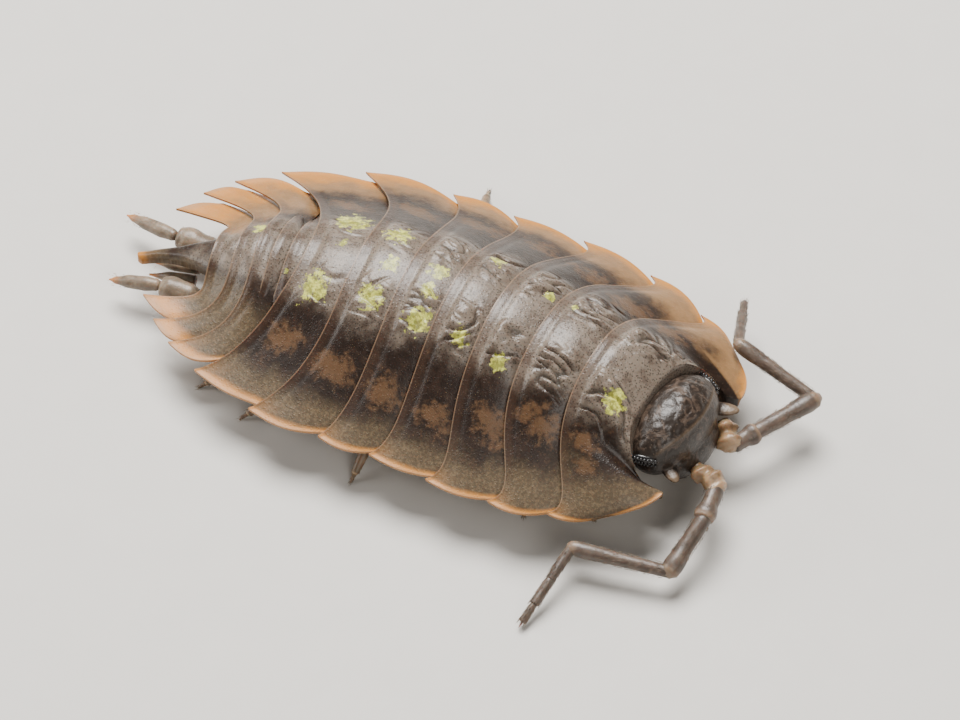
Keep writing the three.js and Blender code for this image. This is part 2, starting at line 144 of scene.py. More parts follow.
def frame_shift():
    """How far the solids were moved: the highest corner of the fourth plate tells."""
    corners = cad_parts["pereonite_4"].data.vertices
    crown = max(corners, key=lambda corner: corner.co.z).co / MM
    start = bent(PEREONITES[3]["mid"], 0, 0)
    return Vector((crown.x - start.x, crown.y - start.y, 0))


SHIFT = frame_shift()


class ShellSettings(PropertyGroup):
    across: IntProperty(
        name="Across", description="Grid steps across a back plate", default=280, min=24
    )
    along: IntProperty(
        name="Along", description="Grid steps along a back plate", default=46, min=8
    )
    wrinkles: FloatProperty(
        name="Wrinkles", description="Height of the wrinkled bosses, in millimetres", default=0.11
    )
    rim: FloatProperty(
        name="Rim", description="Height of the raised rim, in millimetres", default=0.022
    )
    thickness: FloatProperty(
        name="Thickness", description="Thickness of a back plate, in millimetres", default=0.3
    )
    # The grey-brown middle is the shell's own tone, set lighter as a painted sheen on the top of the
    # back.
    centre: FloatVectorProperty(
        name="Centre", description="Grey-brown of the middle of the back",
        subtype="COLOR", default=(0.15, 0.118, 0.092),
    )
    dark: FloatVectorProperty(
        name="Dark", description="Chocolate of the sides",
        subtype="COLOR", default=(0.014, 0.0078, 0.0052),
    )
    tan: FloatVectorProperty(
        name="Tan", description="Tan patch on each side",
        subtype="COLOR", default=(0.1, 0.052, 0.024),
    )
    olive: FloatVectorProperty(
        name="Olive", description="Clear grey-olive border",
        subtype="COLOR", default=(0.098, 0.068, 0.038),
    )
    amber: FloatVectorProperty(
        name="Amber", description="Amber of the margins",
        subtype="COLOR", default=(0.5, 0.2, 0.028),
    )
    lemon: FloatVectorProperty(
        name="Lemon", description="Yellow blotches",
        subtype="COLOR", default=(0.42, 0.42, 0.085),
    )


class BodySettings(PropertyGroup):
    head: FloatVectorProperty(
        name="Head", description="Dark brown of the head",
        subtype="COLOR", default=(0.02, 0.0135, 0.0098),
    )
    feeler: FloatVectorProperty(
        name="Feeler", description="Grey-brown of the feelers",
        subtype="COLOR", default=(0.1, 0.07, 0.052),
    )
    leg: FloatVectorProperty(
        name="Leg", description="Pale brown of the legs",
        subtype="COLOR", default=(0.22, 0.145, 0.085),
    )
    tail: FloatVectorProperty(
        name="Tail", description="Grey-beige of the tail branches",
        subtype="COLOR", default=(0.19, 0.14, 0.095),
    )
    belly: FloatVectorProperty(
        name="Belly", description="Pale skin of the underside",
        subtype="COLOR", default=(0.5, 0.4, 0.28),
    )
    hair: FloatProperty(
        name="Hair", description="Length of the fine hairs, in millimetres", default=0.13
    )


class StageSettings(PropertyGroup):
    azimuth: FloatProperty(
        name="Azimuth", description="Direction the camera looks from",
        subtype="ANGLE", default=math.radians(25.5),
    )
    elevation: FloatProperty(
        name="Elevation", description="Height angle of the camera",
        subtype="ANGLE", default=math.radians(52.1),
    )
    distance: FloatProperty(
        name="Distance", description="Distance from the camera to the woodlouse",
        subtype="DISTANCE", default=0.13,
    )
    lens: FloatProperty(
        name="Lens", description="Focal length in millimetres on a 36 mm wide sensor", default=200.4
    )
    floor: FloatVectorProperty(
        name="Floor", description="Plain pale floor",
        subtype="COLOR", default=(0.62, 0.6, 0.57),
    )


def smooth(value, low, high):
    """0 below low, 1 above high, and smooth between."""
    t = min(1.0, max(0.0, (value - low) / (high - low)))
    return t * t * (3 - 2 * t)


def bell(value, width):
    """1 at zero, falling away smoothly to both sides."""
    return math.exp(-((value / width) ** 2))


def add_piece(name, points, faces, material, nodes=(), marks=None):
    """Makes one piece from points in millimetres, none of them under the floor."""
    mesh = bpy.data.meshes.new(name)
    placed = [(Vector((p.x, p.y, max(0.0, p.z))) + SHIFT) * MM for p in points]
    mesh.from_pydata(placed, [], faces)
    for mark, values in (marks or {}).items():
        kind = "FLOAT" if isinstance(values[0], float) else "FLOAT_VECTOR"
        layer = mesh.attributes.new(mark, kind, "POINT")
        if kind == "FLOAT":
            layer.data.foreach_set("value", values)
        else:
            layer.data.foreach_set("vector", [c for v in values for c in v])
    mesh.polygons.foreach_set("use_smooth", [True] * len(mesh.polygons))
    mesh.materials.append(material)
    piece = bpy.data.objects.new(name, mesh)
    bpy.context.scene.collection.objects.link(piece)
    mesh.validate()
    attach(piece, "root")
    if nodes:
        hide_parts(*nodes)
    return piece


class Finish:
    """A material and short ways to make and join its nodes."""

    def __init__(self, name):
        self.material = bpy.data.materials.new(name)
        self.material.use_nodes = True
        self.tree = self.material.node_tree
        self.shader = self.tree.nodes["Principled BSDF"]

    def node(self, kind, **values):
        made = self.tree.nodes.new(kind)
        for name, value in values.items():
            setattr(made, name, value)
        return made

    def put(self, socket, value):
        """Links a socket to another, or sets a plain value on it."""
        if isinstance(value, bpy.types.NodeSocket):
            self.tree.links.new(value, socket)
        elif isinstance(value, (int, float)):
            socket.default_value = value
        else:
            socket.default_value = (*value, 1.0)

    def mark(self, name, vector=False):
        made = self.node("ShaderNodeAttribute", attribute_name=name)
        return made.outputs["Vector" if vector else "Fac"]

    def math(self, operation, first, second=0.0):
        made = self.node("ShaderNodeMath", operation=operation)
        self.put(made.inputs[0], first)
        self.put(made.inputs[1], second)
        return made.outputs[0]

    def plus(self, first, second):
        return self.math("ADD", first, second)

    def times(self, first, second):
        return self.math("MULTIPLY", first, second)

    def between(self, value, low, high):
        """0 at low and 1 at high, smooth between; low may be above high."""
        made = self.node("ShaderNodeMapRange", interpolation_type="SMOOTHSTEP")
        self.put(made.inputs["Value"], value)
        made.inputs["From Min"].default_value = low
        made.inputs["From Max"].default_value = high
        return made.outputs[0]

    def mix(self, share, first, second):
        made = self.node("ShaderNodeMix", data_type="RGBA")
        self.put(made.inputs["Factor"], share)
        self.put(made.inputs[6], first)
        self.put(made.inputs[7], second)
        return made.outputs[2]

    def laid(self, share, most, under, over):
        """One colour laid over another where share says, and at most so much of it."""
        return self.mix(self.times(share, most), under, over)

    def noise(self, place, scale, detail=3.0, roughness=0.55, distortion=0.0):
        made = self.node("ShaderNodeTexNoise")
        self.put(made.inputs["Vector"], place)
        self.put(made.inputs["Scale"], scale)
        self.put(made.inputs["Detail"], detail)
        self.put(made.inputs["Roughness"], roughness)
        self.put(made.inputs["Distortion"], distortion)
        return made.outputs["Fac"]

    def cells(self, place, scale):
        """Distance to the middle of the nearest of many small cells."""
        made = self.node("ShaderNodeTexVoronoi")
        self.put(made.inputs["Vector"], place)
        self.put(made.inputs["Scale"], scale)
        return made.outputs["Distance"]

    def stretched(self, place, x, y, z):
        made = self.node("ShaderNodeVectorMath", operation="MULTIPLY")
        self.put(made.inputs[0], place)
        made.inputs[1].default_value = (x, y, z)
        return made.outputs[0]

    def bump(self, height, depth, strength=1.0, normal=None):
        """A bump of the given depth in millimetres."""
        made = self.node("ShaderNodeBump")
        made.inputs["Distance"].default_value = depth * MM
        made.inputs["Strength"].default_value = strength
        self.put(made.inputs["Height"], height)
        if normal:
            self.put(made.inputs["Normal"], normal)
        return made.outputs["Normal"]

    def surface(self, colour, roughness, normal=None, **values):
        self.put(self.shader.inputs["Base Color"], colour)
        self.put(self.shader.inputs["Roughness"], roughness)
        if normal:
            self.put(self.shader.inputs["Normal"], normal)
        for name, value in values.items():
            self.put(self.shader.inputs[name.replace("_", " ")], value)
        return self.material


def tinted(colour, factor):
    """A colour made lighter or darker."""
    return tuple(min(1.0, c * factor) for c in colour)


class ShellFinish(Finish):
    """The mottled shell, painted from the marks of a plate's points."""

    def __init__(self, shell):
        super().__init__("mottled_shell")
        self.shell = shell
        self.place = self.mark("place", vector=True)
        self.share = self.mark("share")
        self.aside = self.math("ABSOLUTE", self.share)
        self.edge = self.mark("edge")
        self.rear = self.mark("rear")
        self.drift = self.plus(self.noise(self.place, 1.2, 4.0, 0.6), -0.5)
        self.fine = self.noise(self.place, 5.5, 4.0, 0.65)
        self.ragged = self.plus(self.fine, -0.5)
        self.out = self.plus(self.aside, self.times(self.drift, 0.34))
        # Painted light: share of the left side, whose borders the light from behind shines through;
        # it paints those borders lighter and widens their amber.
        self.far = self.times(self.between(self.share, 0.0, 0.3), 0.8)

    def torn(self, mark, ragged, drift=0.0):
        """A mark with an uneven outline, by so much of the fine and of the broad noise."""
        fine = self.plus(mark, self.times(self.ragged, ragged))
        return self.plus(fine, self.times(self.drift, drift))

    def ground(self):
        """Grey-brown middle, made lighter as painted sheen, with painted shade in its pits and in
        the creases round its bosses, and chocolate sides.
        """
        centre, dark = self.shell.centre, self.shell.dark
        # Painted shade: dark dots at the cell middles stand for the shade in small pits.
        pits = self.between(self.cells(self.place, 16.0), 0.15, 0.46)
        middle = self.mix(pits, tinted(centre, 0.35), tinted(centre, 1.15))
        # Painted shade: the middle is darkened to 0.4 of its tone where the bosses are low, in the
        # creases between them.
        crest = self.between(self.mark("boss"), -0.2, 0.4)
        middle = self.mix(crest, tinted(centre, 0.4), middle)
        # The grey-brown middle, partly painted sheen on the top of the back, gives way to the
        # chocolate sides.
        colour = self.mix(self.between(self.out, 0.3, 0.48), middle, dark)
        mottle = self.between(self.noise(self.place, 2.4, 5.0, 0.7, 0.5), 0.47, 0.62)
        colour = self.laid(mottle, 0.5, colour, tinted(dark, 2.6))
        patch = self.between(self.torn(self.mark("tan"), 1.9, 1.4), 0.25, 0.85)
        return self.laid(patch, 0.85, colour, self.shell.tan)

    def borders(self, colour):
        """Clear border of a plate, speckled olive on its right side and cream on its left, where it
        is painted light shining through from behind.
        """
        border = self.between(self.torn(self.mark("border"), 0.5, 1.3), 1.25, 0.5)
        grain = self.between(self.noise(self.place, 13.0, 3.0, 0.6), 0.42, 0.66)
        olive = self.mix(grain, tinted(self.shell.olive, 0.75), tinted(self.shell.olive, 1.25))
        # Painted light: the lighter tone of the left borders, where light shines through them from
        # behind.
        backlit_cream = self.mix(self.fine, TONES["cream_dark"], TONES["backlit_cream"])
        return self.mix(border, colour, self.mix(self.far, olive, backlit_cream))

    def margins(self, colour):
        """Amber along the margin, wider at the rear corners, painted wider on the left side as light
        shining through from behind, and a dark band before the rear.
        """
        near = self.between(self.torn(self.edge, 0.0, 0.12), 0.17, 0.03)
        # Painted light: the wider amber rim and the stronger rear corners on the left side, where
        # light shines through from behind.
        far = self.between(self.torn(self.edge, 0.0, 0.6), 0.32, 0.06)
        rim = self.math("MAXIMUM", near, self.times(far, self.far))
        corner = self.between(self.mark("along"), 0.6, 1.0)
        corner = self.times(corner, self.between(self.edge, 0.5, 0.05))
        corner = self.times(corner, self.plus(0.25, self.times(self.far, 0.65)))
        rim = self.math("MAXIMUM", rim, corner)
        colour = self.laid(rim, 0.9, colour, self.shell.amber)
        band = self.times(self.between(self.rear, 0.3, 0.14), self.between(self.edge, 0.2, 0.9))
        return self.laid(band, 0.4, colour, TONES["band"])

    def flecks(self, colour):
        """Yellow blotches in the middle, pale specks on the sides and a thin pale rim line."""
        lemon = self.between(self.torn(self.mark("lemon"), 1.9), 0.46, 0.6)
        streaks = self.between(self.noise(self.place, 7.0, 3.0, 0.7), 0.42, 0.62)
        yellow = self.mix(streaks, tinted(self.shell.lemon, 0.55), tinted(self.shell.lemon, 1.3))
        colour = self.mix(lemon, colour, yellow)
        specks = self.between(self.cells(self.place, 17.0), 0.17, 0.08)
        specks = self.times(specks, self.between(self.aside, 0.35, 0.55))
        specks = self.times(specks, self.between(self.noise(self.place, 2.6), 0.42, 0.58))
        colour = self.laid(specks, 0.6, colour, TONES["speck"])
        rear_line = self.between(self.rear, 0.04, 0.015)
        line = self.math("MAXIMUM", rear_line, self.between(self.edge, 0.035, 0.012))
        return self.laid(line, 0.4, colour, TONES["line"])

    def relief(self):
        """Soft unevenness, pits and a fine grain."""
        normal = self.bump(self.noise(self.place, 3.2, 5.0, 0.6), 0.05, 0.35)
        pits = self.between(self.cells(self.place, 13.0), 0.0, 0.42)
        normal = self.bump(pits, 0.009, 0.6, normal)
        return self.bump(self.noise(self.place, 26.0, 2.0, 0.6), 0.006, 0.5, normal)


TONES = {
    # Painted light: the next two tones colour the left borders, lit through from behind.
    "cream_dark": (0.16, 0.085, 0.036),
    "backlit_cream": (0.36, 0.2, 0.085),
    "band": (0.05, 0.026, 0.016),
    "speck": (0.26, 0.17, 0.08),
    "line": (0.3, 0.2, 0.125),
    "head_pit": (0.2, 0.15, 0.11),
    "head_line": (0.33, 0.22, 0.13),
    "lens": (0.004, 0.004, 0.005),
    "lens_pale": (0.014, 0.012, 0.012),
    "feeler_joint": (0.19, 0.13, 0.085),
    "feeler_base": (0.25, 0.155, 0.08),
    "feeler_base_joint": (0.36, 0.24, 0.14),
    "leg_joint": (0.42, 0.3, 0.18),
    "branch_tip": (0.5, 0.2, 0.045),
}


def shell_finish(shell):
    """Glossy mottled shell: grey middle, chocolate sides, tan patches and amber margins."""
    made = bpy.data.materials.get("mottled_shell")
    if made:
        return made
    look = ShellFinish(shell)
    colour = look.flecks(look.margins(look.borders(look.ground())))
    rough = look.plus(0.26, look.times(look.fine, 0.18))
    rough = look.plus(rough, look.times(look.between(look.out, 0.4, 0.95), 0.14))
    return look.surface(
        colour, rough, look.relief(),
        Coat_Weight=0.12, Coat_Roughness=0.22, Specular_IOR_Level=0.33,
        Subsurface_Weight=0.08, Subsurface_Scale=0.0004,
    )


def head_finish(body):
    """Dark head with pale worm-like marbling."""
    look = Finish("marbled_head")
    place = look.mark("place", vector=True)
    veins = look.noise(place, 2.6, 5.0, 0.62, 1.6)
    colour = look.mix(look.between(veins, 0.5, 0.64), body.head, tinted(body.head, 3.6))
    pits = look.cells(place, 12.0)
    colour = look.laid(look.between(pits, 0.2, 0.08), 0.5, colour, TONES["head_pit"])
    colour = look.laid(look.mark("rim"), 0.6, colour, TONES["head_line"])
    normal = look.bump(pits, 0.012, 0.6, look.bump(veins, 0.05, 0.4))
    return look.surface(
        colour, 0.38, normal, Coat_Weight=0.15, Coat_Roughness=0.22, Specular_IOR_Level=0.4
    )


def lens_finish():
    """Black glossy lenses."""
    look = Finish("black_lenses")
    place = look.mark("place", vector=True)
    colour = look.mix(look.noise(place, 9.0), TONES["lens"], TONES["lens_pale"])
    return look.surface(colour, 0.24, Coat_Weight=0.3, Coat_Roughness=0.08)


def limb_finish(name, base, pale, lumpy=0.5, rough=0.42, clear=0.25):
    """Thin satin shell of a limb, mottled along its length and pale at the joints."""
    look = Finish(name)
    place = look.mark("place", vector=True)
    clouds = look.noise(place, 3.0, 4.0, 0.6)
    fine = look.noise(place, 14.0, 3.0, 0.6)
    colour = look.mix(look.between(clouds, 0.35, 0.7), tinted(base, 0.65), tinted(base, 1.3))
    colour = look.mix(look.mark("joint"), colour, pale)
    colour = look.laid(look.between(fine, 0.62, 0.72), 0.35, colour, tinted(base, 1.8))
    normal = look.bump(fine, 0.012, 0.6, look.bump(clouds, 0.05, lumpy))
    return look.surface(
        colour, rough, normal,
        Coat_Weight=0.15, Coat_Roughness=0.3, Subsurface_Weight=clear, Subsurface_Scale=0.0003,
    )


def skin_finish(body):
    """Soft pale skin of the belly and of the gill plates."""
    look = Finish("pale_belly")
    place = look.mark("place", vector=True)
    clouds = look.noise(place, 1.6, 4.0, 0.6)
    folds = look.noise(look.stretched(place, 5.0, 1.0, 1.0), 1.8, 3.0)
    colour = look.mix(clouds, tinted(body.belly, 0.7), tinted(body.belly, 1.2))
    normal = look.bump(look.noise(place, 12.0), 0.012, 0.5, look.bump(folds, 0.05, 0.7))
    return look.surface(colour, 0.5, normal, Subsurface_Weight=0.3, Subsurface_Scale=0.0005)


UNDER = 0.14  # how far the front of a plate lies under the plate before it


def arch(t):
    """Height share of the arched back at a share t of the half width."""
    return (1 - FLARE) * (1 - t * t) + FLARE * 0.5 * (1 + math.cos(math.pi * t))


def rear_margin(form, t):
    """x of a plate's rear margin at a share t of its half width."""
    rest = form["corner"] - form["mid"] - form["sweep"] - form["wave"]
    return form["mid"] + form["sweep"] * t**2 + form["wave"] * t**4 + rest * t**10


def height_over(form, t):
    """Height of a plate at a share t of its half width, without its relief."""
    return EDGE_Z + (form["top"] - EDGE_Z) * arch(min(1.0, t))


def front_behind(before, inside=0.2):
    """The front margin of a plate that follows another, tucked under the one before it."""

    def margin(share):
        y = share * (before["half"] - inside)
        t = abs(y) / before["half"]
        return rear_margin(before, t), y, height_over(before, t) - UNDER

    return margin


def tail_front(share):
    """The front margin of the third tail plate, behind two narrow ones and the last wide one."""
    inner, outer = PLEONITES[1], PEREONITES[6]
    y = share * (outer["half"] - 0.5)
    t_in, t_out = abs(y) / inner["half"], abs(y) / outer["half"]
    x_in = rear_margin(inner, t_in) if t_in < 1 else inner["corner"]
    return min(x_in, rear_margin(outer, t_out)), y, height_over(inner, t_out) - UNDER


def curve_point(points, share):
    """A point on a smooth line through the given points."""
    place = share * (len(points) - 1)
    i = min(int(place), len(points) - 2)
    t = place - i
    before, here = points[max(0, i - 1)], points[i]
    there, after = points[i + 1], points[min(len(points) - 1, i + 2)]
    return [
        b + (c - a) * t / 2 + (a - 2.5 * b + 2 * c - d / 2) * t**2 + (3 * (b - c) + d - a) * t**3 / 2
        for a, b, c, d in zip(before, here, there, after)
    ]


def collar_front(share):
    """The front margin of the first plate, round the head and out round its two lobes."""
    t = abs(share)
    x, y = curve_point(COLLAR, t)
    height = arch(t) * (1 - smooth(x, 5.7, 7.1))
    held = smooth(t, 0.49, 0.62) * (1 - smooth(t, 0.65, 1.0)) if share < 0 else 0.0
    x += held * RIGHT_LOBE["forward"]
    y = math.copysign(y - held * RIGHT_LOBE["inward"], share)
    return x, y, EDGE_Z + (COLLAR_TOP - EDGE_Z) * height + held * RIGHT_LOBE["up"]


def wrinkle(x, y, seed):
    """Height share of the round worm-like bosses at a place on the back."""
    bend_x = noise.noise(Vector((x * 0.9, y * 0.9, seed)))
    bend_y = noise.noise(Vector((x * 0.9, y * 0.9, seed + 20)))
    fold = abs(noise.noise(Vector((x * 1.2 + bend_x, y * 2.7 + bend_y * 1.6, seed + 5))))
    small = abs(noise.noise(Vector((x * 2.8, y * 5.2, seed + 9))))
    swollen = 1 - (1 - min(1.0, 2.5 * fold)) ** 2
    return swollen - 0.3 + 0.4 * min(1.0, 3 * small) * swollen


# The relief of every back plate in millimetres, and its rows under the plate before it.
PLATE = {
    "hidden_rows": 5,
    "swelling": 0.07,
    "groove": 0.03,
    "groove_width": 0.1,
    "groove_from_rear": 0.26,
    "rear_rim": 0.045,
    "edge_rim": 0.05,
    "uneven": 0.03,
    "margin_thick": 0.07,
}


def edge_distance(form, v, t, depth):
    """Distance in millimetres to the outer margin; the first plate has a front one too."""
    edge = form["half"] * (1 - t)
    if form is PEREONITES[0]:
        edge = min(edge, v * depth + 3.0 * (1 - smooth(t, 0.52, 0.64)))
    return edge


def blotch(spots, x, y, narrow=1.0):
    """1 at the middle of a blotch, 0.5 at its edge and 0 far out."""
    near = 0.0
    for spot_x, spot_y, size in spots:
        near = max(near, 1.0 - 0.5 * math.hypot((x - spot_x) * narrow, y - spot_y) / size)
    return near


def boss_share(form, y, t, v, rear):
    """How much of the worm-like bosses a place has: most on both sides of the midline."""
    zone = smooth(abs(y), 0.25, 0.75) * (1 - smooth(abs(y), 1.25, 1.8))
    inside = smooth(v, 0.02, 0.22) * smooth(rear, 0.24, 0.42)
    return zone * (1 - smooth(t, 0.4, 0.52)) * inside * form["bosses"]


def slab_faces(across, along):
    """Faces of a closed slab: its upper grid, its lower grid and the walls between."""
    row = across + 1
    count = row * (along + 1)
    faces = []
    for j in range(along):
        for i in range(across):
            a = j * row + i
            b, c, d = a + row, a + row + 1, a + 1
            faces.append((a, b, c, d))
            faces.append((a + count, d + count, c + count, b + count))
    for i in range(across):
        a, b = i, along * row + i
        faces.append((a, a + 1, a + 1 + count, a + count))
        faces.append((b + 1, b, b + count, b + 1 + count))
    for j in range(along):
        a, b = j * row, j * row + across
        faces.append((a + row, a, a + count, a + row + count))
        faces.append((b, b + row, b + row + count, b + count))
    return faces


def add_slab(name, across, along, sample, finish, nodes=(), mirrored=False):
    """A closed slab; sample(share, j) gives its upper and lower point and its marks there."""
    upper, lower, marks = [], [], {}
    for j in range(along + 1):
        for i in range(across + 1):
            above, below, values = sample(2 * i / across - 1, j)
            upper.append(bent(*above))
            lower.append(bent(*below))
            for mark, value in values.items():
                marks.setdefault(mark, []).append(value)
    for values in marks.values():
        values.extend(values[:])
    faces = slab_faces(across, along)
    if mirrored:
        faces = [face[::-1] for face in faces]
    return add_piece(name, upper + lower, faces, finish, nodes, marks)


def add_plate(form, front, rows, seed, shell, finish, tuck=0.4, sink=0.07):
    """One back plate, its first rows tucked under the plate before it."""
    hidden, wrinkles, rim_height = PLATE["hidden_rows"], shell.wrinkles, shell.rim
    thick, thin = shell.thickness, PLATE["margin_thick"]

    def sample(share, j):
        v = max(0.0, (j - hidden) / rows)
        back = max(0.0, (hidden - j) / hidden)
        t = abs(share)
        x0, y0, z0 = front(share)
        x1 = rear_margin(form, t)
        tucked = back
        if form is PEREONITES[0]:
            tucked *= 1 - smooth(t, 0.4, 0.55)
        swell = form["bulge"] * math.sin(math.pi * v) * math.copysign(t**6, share)
        x = x0 + (x1 - x0) * v + tucked * tuck
        y = y0 + (share * form["half"] - y0) * (1 - (1 - v) ** 2.5) + swell
        z = z0 + (height_over(form, t) - z0) * (1 - (1 - v) ** 1.6) - tucked * sink
        rear = (1 - v) * abs(x1 - x0)
        edge = edge_distance(form, v, t, abs(x1 - x0))
        zone = boss_share(form, y, t, v, rear)
        boss = wrinkle(x, y, seed) if zone > 0.01 else 0.5
        relief = wrinkles * zone * boss if zone > 0.01 else 0.0
        z += relief + PLATE["swelling"] * math.sin(math.pi * v) * (1 - t**4)
        groove = bell(rear - PLATE["groove_from_rear"], PLATE["groove_width"]) * (1 - t**4)
        z -= PLATE["groove"] * groove
        z += rim_height * (bell(rear, PLATE["rear_rim"]) + bell(edge, PLATE["edge_rim"]))
        z += PLATE["uneven"] * noise.noise(Vector((x * 1.1, y * 1.1, seed))) * (1 - t**6)
        depth = thin + (thick - thin) * smooth(min(rear, edge * 0.6), 0.05, 0.6)
        marks = {
            "place": (x, y, z + seed),
            "share": share,
            "along": v,
            "edge": edge,
            "border": edge / form["border"],
            "rear": rear + back,
            "tan": blotch(form["tans"], x, -abs(y), 0.55),
            "lemon": blotch(form["lemons"], x, y),
            # boss: height share of the bosses, from which the shell finish paints shade into the
            # creases.
            "boss": 0.5 + (boss - 0.5) * min(1.0, zone),
        }
        return (x, y, z), (x, y, z - depth - relief), marks

    name = form["name"]
    piece = add_slab(
        name + "_shell", shell.across, hidden + rows, sample, finish, [name]
    )
    piece.data.set_sharp_from_angle(angle=math.radians(55))


def back_height(x, y):
    """Height of the back over a place of the straight body, without its relief."""
    knots = [(COLLAR[0][0], 3.3, COLLAR_TOP)]
    for form in PEREONITES + PLEONITES[2:]:
        knots.append((form["mid"], form["half"], form["top"]))
    x = min(max(x, knots[-1][0]), knots[0][0])
    for (x0, half0, top0), (x1, half1, top1) in zip(knots, knots[1:]):
        if x1 <= x <= x0:
            share = (x0 - x) / (x0 - x1)
            half = half0 + (half1 - half0) * share
            top = top0 + (top1 - top0) * share
            return EDGE_Z + (top - EDGE_Z) * arch(min(1.0, abs(y) / half))
    return EDGE_Z


class WOODLOUSE_OT_back_plates(Operator):
    """Seven leg-bearing back plates with wrinkled bosses and thin rims"""

    bl_idname = "woodlouse.back_plates"
    bl_label = "Back Plates"

    def execute(self, context):
        shell = context.scene.woodlouse_shell
        finish = shell_finish(shell)
        for i, form in enumerate(PEREONITES):
            if i:
                front = front_behind(PEREONITES[i - 1])
                add_plate(form, front, shell.along, 11.0 * i, shell, finish)
            else:
                add_plate(form, collar_front, shell.along, 17.0, shell, finish, 0.12, 0.45)
        return {"FINISHED"}


TELSON = {"base": 0.64, "tip": 0.14, "length": 1.95, "top": 1.95, "thick": 0.5, "furrow": 0.05}


class WOODLOUSE_OT_tail_plates(Operator):
    """Five tail plates and the pointed telson"""

    bl_idname = "woodlouse.tail_plates"
    bl_label = "Tail Plates"

    def execute(self, context):
        shell = context.scene.woodlouse_shell
        finish = shell_finish(shell)
        last = PEREONITES[6]
        fronts = [
            front_behind(last, last["half"] - 1.95),
            front_behind(PLEONITES[0], 0.06),
            tail_front,
            front_behind(PLEONITES[2], 0.12),
            front_behind(PLEONITES[3], 0.12),
        ]
        for i, form in enumerate(PLEONITES):
            rows = shell.along // (4 if i < 2 else 2)
            add_plate(form, fronts[i], rows, 90.0 + 7 * i, shell, finish, 0.4)
        self.add_telson(finish)
        return {"FINISHED"}

    def add_telson(self, finish):
        """A tail plate that narrows to a blunt tongue with a shallow furrow along it."""
        last, rows = PLEONITES[4], 60

        def sample(share, j):
            v = j / rows
            y = share * (TELSON["tip"] + (TELSON["base"] - TELSON["tip"]) * (1 - v) ** 2.4)
            start = rear_margin(last, abs(y) / last["half"]) + 0.1
            end = last["mid"] - 0.1 - TELSON["length"] + 0.14 * share**2
            x = start + (end - start) * v
            round_off = 1 - math.sqrt(1 - share**2 * 0.96)
            z = TELSON["top"] - 0.5 * v - 0.3 * v * v - 0.3 * round_off * (1 - v * 0.45)
            z -= TELSON["furrow"] * bell(y, 0.16) * smooth(v, 0.1, 0.4)
            z += 0.015 * noise.noise(Vector((x * 3, y * 3, 4)))
            depth = TELSON["thick"] * (1 - 0.5 * v) * (1 - 0.5 * share**4)
            marks = {
                "place": (x, y, z),
                "share": -0.42,
                "along": v,
                "edge": 0.34 - 0.28 * smooth(v, 0.7, 1.0),
                "border": 1.7 - 1.3 * v - 0.5 * share**4,
                "rear": 3.0,
                "tan": 0.0,
                "lemon": 0.0,
                "boss": 0.5,
            }
            return (x, y, z), (x, y * 0.94, z - depth), marks

        piece = add_slab("telson_shell", 40, rows, sample, finish, ["telson"])
        piece.data.set_sharp_from_angle(angle=math.radians(60))


def egg(half_sizes, centre, turn=0.0, rings=24):
    """Points and faces of an egg-shaped form, turned about the vertical."""
    a, b, c = half_sizes
    around = 2 * rings
    points = [Vector((0, 0, c))]
    for ring in range(1, rings):
        lean = math.pi * ring / rings
        for step in range(around):
            angle = math.pi * step / rings
            x = a * math.sin(lean) * math.cos(angle)
            y = b * math.sin(lean) * math.sin(angle)
            points.append(Vector((x, y, c * math.cos(lean))))
    points.append(Vector((0, 0, -c)))
    faces = []
    for step in range(around):
        after = (step + 1) % around
        faces.append((0, 1 + step, 1 + after))
        low = 1 + (rings - 2) * around
        faces.append((len(points) - 1, low + after, low + step))
        for ring in range(rings - 2):
            start = 1 + ring * around
            below = start + around
            faces.append((start + step, below + step, below + after, start + after))
    spin = Matrix.Rotation(turn, 3, "Z")
    return [spin @ p + Vector(centre) for p in points], faces


def gathered(parts):
    """Several (points, faces) as one."""
    points, faces = [], []
    for some_points, some_faces in parts:
        start = len(points)
        points.extend(some_points)
        faces.extend(tuple(start + k for k in face) for face in some_faces)
    return points, faces


def fused(name, parts, voxel, smoothing=6):
    """Joins overlapping forms into one smooth skin and returns its points and faces, in mm."""
    points, faces = gathered(parts)
    mesh = bpy.data.meshes.new(name)
    mesh.from_pydata(points, [], faces)
    form = bpy.data.objects.new(name, mesh)
    bpy.context.scene.collection.objects.link(form)
    remesh = form.modifiers.new("fuse", "REMESH")
    remesh.mode = "VOXEL"
    remesh.voxel_size = voxel
    relax = form.modifiers.new("relax", "SMOOTH")
    relax.factor = 0.5
    relax.iterations = smoothing
    ready = form.evaluated_get(bpy.context.evaluated_depsgraph_get())
    made = ready.to_mesh()
    new_points = [v.co.copy() for v in made.vertices]
    normals = [v.normal.copy() for v in made.vertices]
    new_faces = [tuple(p.vertices) for p in made.polygons]
    ready.to_mesh_clear()
    bpy.data.objects.remove(form)
    bpy.data.meshes.remove(mesh)
    return new_points, new_faces, normals


HEAD = {
    "x": 6.34,
    "z": 1.86,
    "length": 0.86,
    "half": 1.47,
    "height": 0.98,
    "lobe_left": 1.2,
    "lobe_right": 1.02,
    "bosses": 0.018,
    "line": 0.02,
    "voxel": 0.032,
}
EYE = {"x": 6.42, "y": 1.38, "z": 2.05, "lens": 0.037, "step": 0.082, "row_step": 0.084}


def frontal_line(y):
    """x of the pale line that runs across the front of the head."""
    return 7.0 - 0.22 * y * y


